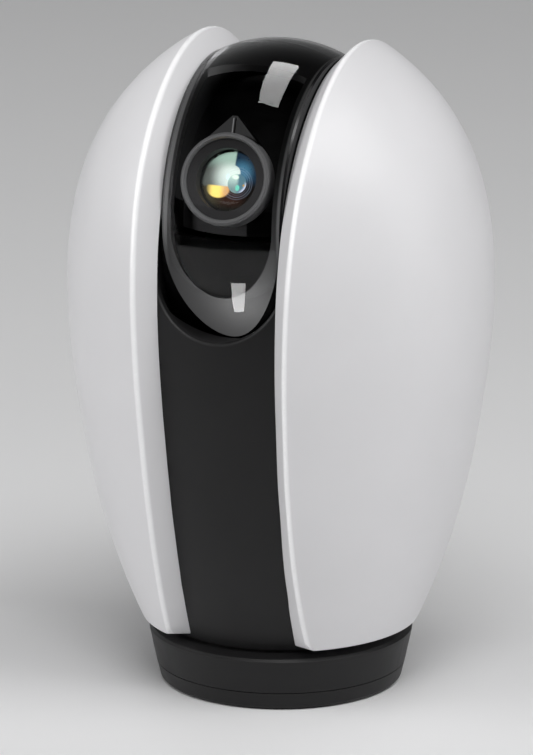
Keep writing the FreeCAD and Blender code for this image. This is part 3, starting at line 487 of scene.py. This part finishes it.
def reflected_card(name, corners, strength):
    """A card seen only as a reflection; corners in metres.

    A glowing card is seen by the window alone. A black one, of strength 0, is seen by every piece
    and from inside clear pieces too.
    """
    mesh = bpy.data.meshes.new(name)
    mesh.from_pydata(corners, [], [(0, 1, 2, 3)])
    card = bpy.data.objects.new(name, mesh)
    bpy.context.scene.collection.objects.link(card)
    mat = new_material(name)
    n = Nodes(mat)
    glow = n.add("ShaderNodeEmission")
    glow.inputs["Color"].default_value = (1.0, 1.0, 1.0, 1.0)
    glow.inputs["Strength"].default_value = strength
    n.output(glow.outputs[0])
    mat.cycles.emission_sampling = "NONE"
    mesh.materials.append(mat)
    card.visible_camera = False
    card.visible_diffuse = False
    card.visible_transmission = strength == 0.0
    card.visible_shadow = False
    if strength > 0.0:
        lit_only(card, ["window"])


CAM_AZIMUTH = math.radians(21.0)
CAM_ELEVATION = math.radians(15.48)
CAM_DISTANCE = 1.3376
AIM = Vector((0, 0, 61.87 * MM))
FOCAL = 319.5
SHIFT_X = -0.0192


def make_camera():
    back = Vector((math.sin(CAM_AZIMUTH) * math.cos(CAM_ELEVATION),
                   -math.cos(CAM_AZIMUTH) * math.cos(CAM_ELEVATION),
                   math.sin(CAM_ELEVATION)))
    data = bpy.data.cameras.new("camera")
    data.lens = FOCAL
    data.shift_x = SHIFT_X
    data.clip_start = 0.05
    camera = bpy.data.objects.new("camera", data)
    bpy.context.scene.collection.objects.link(camera)
    camera.location = AIM + back * CAM_DISTANCE
    camera.rotation_euler = back.to_track_quat("Z", "Y").to_euler()
    bpy.context.scene.camera = camera


WALL_COLOUR = (0.98, 0.99, 1.0, 1.0)
WALL_GLOW = 0.45            # at the horizon
SKY_GLOW = 0.004            # high above it
WALL_FADE = (0.33, 0.78)    # sine of the elevation where the wall starts to fade, and where it ends


def make_world():
    """A dim studio wall round the horizon, brighter at the left, seen only as a reflection."""
    world = bpy.data.worlds.new("studio")
    bpy.context.scene.world = world
    world.use_nodes = True
    world.cycles_visibility.diffuse = False
    world.cycles_visibility.transmission = False
    n = Nodes(world)
    background = n.tree.nodes["Background"]
    background.inputs["Color"].default_value = WALL_COLOUR
    coord = n.add("ShaderNodeTexCoord")
    split = n.add("ShaderNodeSeparateXYZ")
    n.link(coord.outputs["Generated"], split.inputs[0])
    height = n.remap(split.outputs["Z"], *WALL_FADE, WALL_GLOW, SKY_GLOW)
    side = n.remap(split.outputs["X"], -0.75, 0.25, 1.3, 0.3)
    n.link(n.math("MULTIPLY", height, side), background.inputs["Strength"])


# ------------------------------------------------------------------ lamps
MIDDLE = (0, 0, 0.07)
HEAD = (0, 0, 0.11)
HEAD_LOW = (0, 0, 0.10)
FRAME = ["window_frame"]
HOOD = ["sensor_hood", "status_light_pipe"]
MASK_AND_RING = ["inner_mask", "lens_bezel"]
LIT_APART = FRAME + HOOD + ["window", "lower_panel", "front_lens"]
LIT_SOFTLY = [name for name in NODES if name not in LIT_APART]
HEAD_INSIDE = ["window_frame", "inner_mask", "lens_bezel", "sensor_hood", "lens_holder"]
# name, place, size, power
SOFT_LAMPS = (("soft_top", (0.1, -0.25, 1.3), 1.4, 4.4),
              ("soft_left", (-1.1, -0.7, 0.5), 1.0, 8.4),
              ("soft_right", (0.9, -0.2, 1.1), 0.8, 7.5),
              ("soft_side", (1.4, 0.2, 0.4), 0.8, 3.0),
              ("soft_front", (0.3, -0.8, 1.3), 0.6, 8.0))


def make_soft_lamps():
    """Lamps for the floor and every piece but the window, its frame, the hood, the panel and the lens."""
    for name, place, size, power in SOFT_LAMPS:
        lit_only(area_light(name, place, MIDDLE, size, power), LIT_SOFTLY + ["floor"])


def make_frame_lamps():
    """Two lamps for the grey frame, shaded only by the pieces inside the head."""
    low_fill = area_light("low_fill", (-0.08, -0.35, -0.55), HEAD_LOW, 0.4, 9.0)
    lit_only(low_fill, FRAME)
    blockers = bpy.data.collections.new("head_inside")
    for name in HEAD_INSIDE:
        blockers.objects.link(NODES[name])
    low_fill.light_linking.blocker_collection = blockers
    rim_light = area_light("rim_light", (-0.7, -0.5, 0.75), HEAD, 0.3, 2.2)
    lit_only(rim_light, FRAME)
    rim_light.light_linking.blocker_collection = blockers


def make_accent_lamps():
    """Lamps that each light one feature: the lens, its ring, the hood, the mask and the ridges."""
    lens_light = area_light("lens_light", (-0.2, -1.0, 0.6), HEAD, 0.5, 26)
    lens_light.visible_glossy = False
    lens_light.visible_transmission = False
    lit_only(lens_light, ["front_lens"])
    lit_only(area_light("ring_light", (0.9, -0.6, 0.3), HEAD, 0.3, 4.0), ["lens_bezel"])
    lit_only(area_light("hood_light", (-0.9, -0.7, 0.5), HEAD, 0.3, 13.0), HOOD)
    lit_only(area_light("field_light", (-0.45, -0.9, 0.12), HEAD_LOW, 0.3, 4.0), MASK_AND_RING)
    ridge_light = area_light("ridge_light", (-0.35, -1.2, 0.45), MIDDLE, 0.3, 9, size_y=1.1)
    ridge_light.visible_diffuse = False
    lit_only(ridge_light, ["left_shell", "right_shell"])


# ------------------------------------------------------------------ cards
# a large card high above the object, and a small one close in front of the window, above the opening
HIGH_CARD = [(-0.264, 0.719, 1.126), (0.0025, 0.755, 1.126),
             (0.156, -0.143, 1.126), (-0.098, -0.128, 1.126)]
HIGH_CARD_GLOW = 16.0
LOW_CARD = [(0.0011, -0.0393, 0.0841), (0.0055, -0.0390, 0.0843),
            (0.0036, -0.0325, 0.0793), (0.0011, -0.0326, 0.0792)]
LOW_CARD_GLOW = 26.0
# black cards stand on an arc round the front, from 85 degrees left of it to 69 degrees right
FLAG_COUNT = 14
FLAG_FIRST = -85            # degrees from the front, positive towards +X
FLAG_STEP = 11
FLAG_RADIUS = 0.262
FLAG_HEIGHT = 0.122


def make_cards():
    """The two bright patches that the window reflects."""
    reflected_card("high_card", HIGH_CARD, HIGH_CARD_GLOW)
    reflected_card("low_card", LOW_CARD, LOW_CARD_GLOW)


def make_flags():
    """Black cards that hide the far floor from the window."""
    for i in range(FLAG_COUNT):
        ends = [math.radians(FLAG_FIRST + FLAG_STEP * (i + k)) for k in (0, 1)]
        (x0, y0), (x1, y1) = [(FLAG_RADIUS * math.sin(a), -FLAG_RADIUS * math.cos(a)) for a in ends]
        corners = [(x0, y0, 0.0), (x1, y1, 0.0), (x1, y1, FLAG_HEIGHT), (x0, y0, FLAG_HEIGHT)]
        reflected_card("flag_%d" % i, corners, 0.0)


make_floor()
make_camera()
make_world()
make_soft_lamps()
make_frame_lamps()
make_accent_lamps()
make_cards()
make_flags()
bpy.context.scene.view_settings.view_transform = "Standard"
